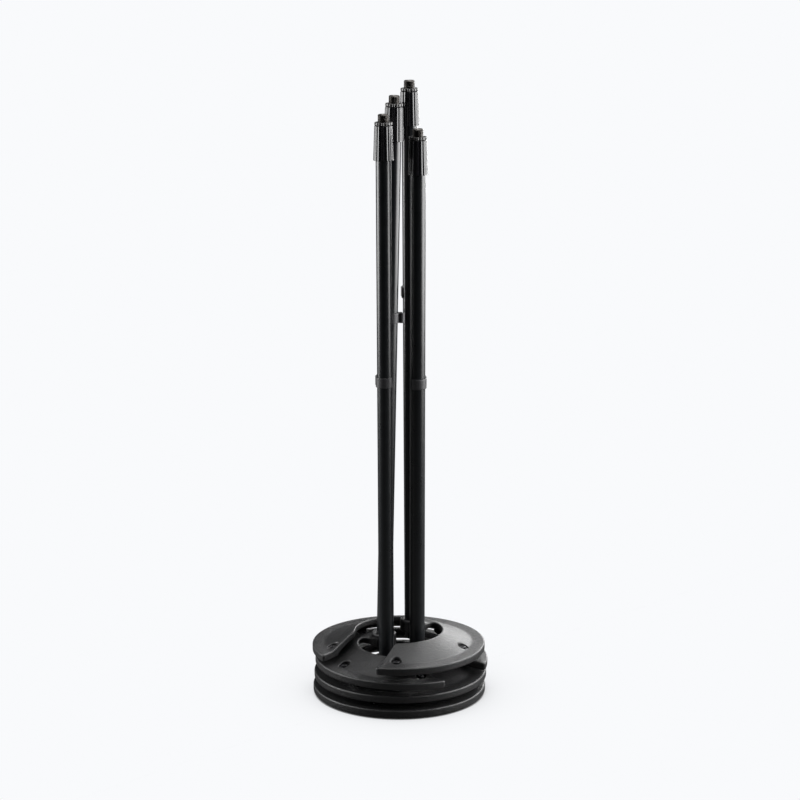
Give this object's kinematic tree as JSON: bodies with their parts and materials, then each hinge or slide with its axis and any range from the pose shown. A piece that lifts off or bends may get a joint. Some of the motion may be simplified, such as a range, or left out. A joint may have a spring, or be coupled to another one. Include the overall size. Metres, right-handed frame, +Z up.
{
  "type": "stackable microphone stand set",
  "caption": "Nested stack of straight telescoping microphone stands, each with a round slotted base, a twist clutch, a cable clip and a threaded top.",
  "frame": {"origin": "on the floor, under the middle of the lowest base", "axes": "+Z up along the lowest stand's tube, -Y towards the viewer, +X to the viewer's right"},
  "size_m": [0.2583, 0.2565, 0.8974],
  "materials": {
    "casting": "fine textured matte black powder coat",
    "tube": "satin black paint",
    "grip": "gloss black, fluted",
    "collar": "black, worn at the edges",
    "thread": "dark plated, cut thread",
    "clip": "moulded black plastic",
    "rubber": "matte black",
    "fastener": "zinc plated",
    "brass": "turned",
    "nylon": "natural nylon"
  },
  "bodies": {
    "stand1": {"stand1_base": "casting", "stand1_feet": "rubber", "stand1_foot_screws": "fastener", "stand1_tube_stud": "fastener", "stand1_washer": "fastener", "stand1_nut": "fastener", "stand1_outer_tube": "tube", "stand1_clutch_body": "brass", "stand1_collet": "nylon"},
    "stand1_extension": {"stand1_inner_tube": "tube", "stand1_guide_bush": "nylon", "stand1_thread_stud": "thread", "stand1_collar": "collar"},
    "stand1_clutch": {"stand1_grip": "grip"},
    "stand1_clip": {"stand1_cable_clip": "clip"},
    "stand2": {"stand2_base": "casting", "stand2_feet": "rubber", "stand2_foot_screws": "fastener", "stand2_tube_stud": "fastener", "stand2_washer": "fastener", "stand2_nut": "fastener", "stand2_outer_tube": "tube", "stand2_clutch_body": "brass", "stand2_collet": "nylon"},
    "stand2_extension": {"stand2_inner_tube": "tube", "stand2_guide_bush": "nylon", "stand2_thread_stud": "thread", "stand2_collar": "collar"},
    "stand2_clutch": {"stand2_grip": "grip"},
    "stand2_clip": {"stand2_cable_clip": "clip"},
    "stand3": {"stand3_base": "casting", "stand3_feet": "rubber", "stand3_foot_screws": "fastener", "stand3_tube_stud": "fastener", "stand3_washer": "fastener", "stand3_nut": "fastener", "stand3_outer_tube": "tube", "stand3_clutch_body": "brass", "stand3_collet": "nylon"},
    "stand3_extension": {"stand3_inner_tube": "tube", "stand3_guide_bush": "nylon", "stand3_thread_stud": "thread", "stand3_collar": "collar"},
    "stand3_clutch": {"stand3_grip": "grip"},
    "stand3_clip": {"stand3_cable_clip": "clip"},
    "stand4": {"stand4_base": "casting", "stand4_feet": "rubber", "stand4_foot_screws": "fastener", "stand4_tube_stud": "fastener", "stand4_washer": "fastener", "stand4_nut": "fastener", "stand4_outer_tube": "tube", "stand4_clutch_body": "brass", "stand4_collet": "nylon"},
    "stand4_extension": {"stand4_inner_tube": "tube", "stand4_guide_bush": "nylon", "stand4_thread_stud": "thread", "stand4_collar": "collar"},
    "stand4_clutch": {"stand4_grip": "grip"},
    "stand4_clip": {"stand4_cable_clip": "clip"}
  },
  "joints": [
    {"name": "stand2_lift", "type": "slide", "parent": "stand1", "child": "stand2", "axis": [0, 0, 1], "range_m": [0, 0.86]},
    {"name": "stand3_lift", "type": "slide", "parent": "stand2", "child": "stand3", "axis": [-0.0044, 0, 1], "range_m": [0, 0.86]},
    {"name": "stand4_lift", "type": "slide", "parent": "stand3", "child": "stand4", "axis": [0.0192, 0, 0.9998], "range_m": [0, 0.86]},
    {"name": "stand1_height", "type": "slide", "parent": "stand1", "child": "stand1_extension", "axis": [0, 0, 1], "range_m": [0, 0.66]},
    {"name": "stand1_grip_turn", "type": "hinge", "parent": "stand1", "child": "stand1_clutch", "pos_m": [0.02625, -0.02, 0.796], "axis": [0, 0, 1], "range_deg": [0, 120]},
    {"name": "stand1_clip_slide", "type": "slide", "parent": "stand1", "child": "stand1_clip", "axis": [0, 0, 1], "range_m": [-0.411, 0.219]},
    {"name": "stand2_height", "type": "slide", "parent": "stand2", "child": "stand2_extension", "axis": [-0.0044, 0, 1], "range_m": [0, 0.66]},
    {"name": "stand2_grip_turn", "type": "hinge", "parent": "stand2", "child": "stand2_clutch", "pos_m": [-0.02197, -0.02375, 0.81671], "axis": [-0.0044, 0, 1], "range_deg": [0, 120]},
    {"name": "stand2_clip_slide", "type": "slide", "parent": "stand2", "child": "stand2_clip", "axis": [-0.0044, 0, 1], "range_m": [-0.393, 0.237]},
    {"name": "stand3_height", "type": "slide", "parent": "stand3", "child": "stand3_extension", "axis": [0.0192, 0, 0.9998], "range_m": [0, 0.66]},
    {"name": "stand3_grip_turn", "type": "hinge", "parent": "stand3", "child": "stand3_clutch", "pos_m": [-0.00796, 0.02, 0.83786], "axis": [0.0192, 0, 0.9998], "range_deg": [0, 120]},
    {"name": "stand3_clip_slide", "type": "slide", "parent": "stand3", "child": "stand3_clip", "axis": [0.0192, 0, 0.9998], "range_m": [-0.457, 0.173]},
    {"name": "stand4_height", "type": "slide", "parent": "stand4", "child": "stand4_extension", "axis": [-0.0061, 0.014, 0.9999], "range_m": [0, 0.66]},
    {"name": "stand4_grip_turn", "type": "hinge", "parent": "stand4", "child": "stand4_clutch", "pos_m": [0.01414, 0.03886, 0.85726], "axis": [-0.0061, 0.014, 0.9999], "range_deg": [0, 120]},
    {"name": "stand4_clip_slide", "type": "slide", "parent": "stand4", "child": "stand4_clip", "axis": [-0.0061, 0.014, 0.9999], "range_m": [-0.471, 0.159]}
  ]
}
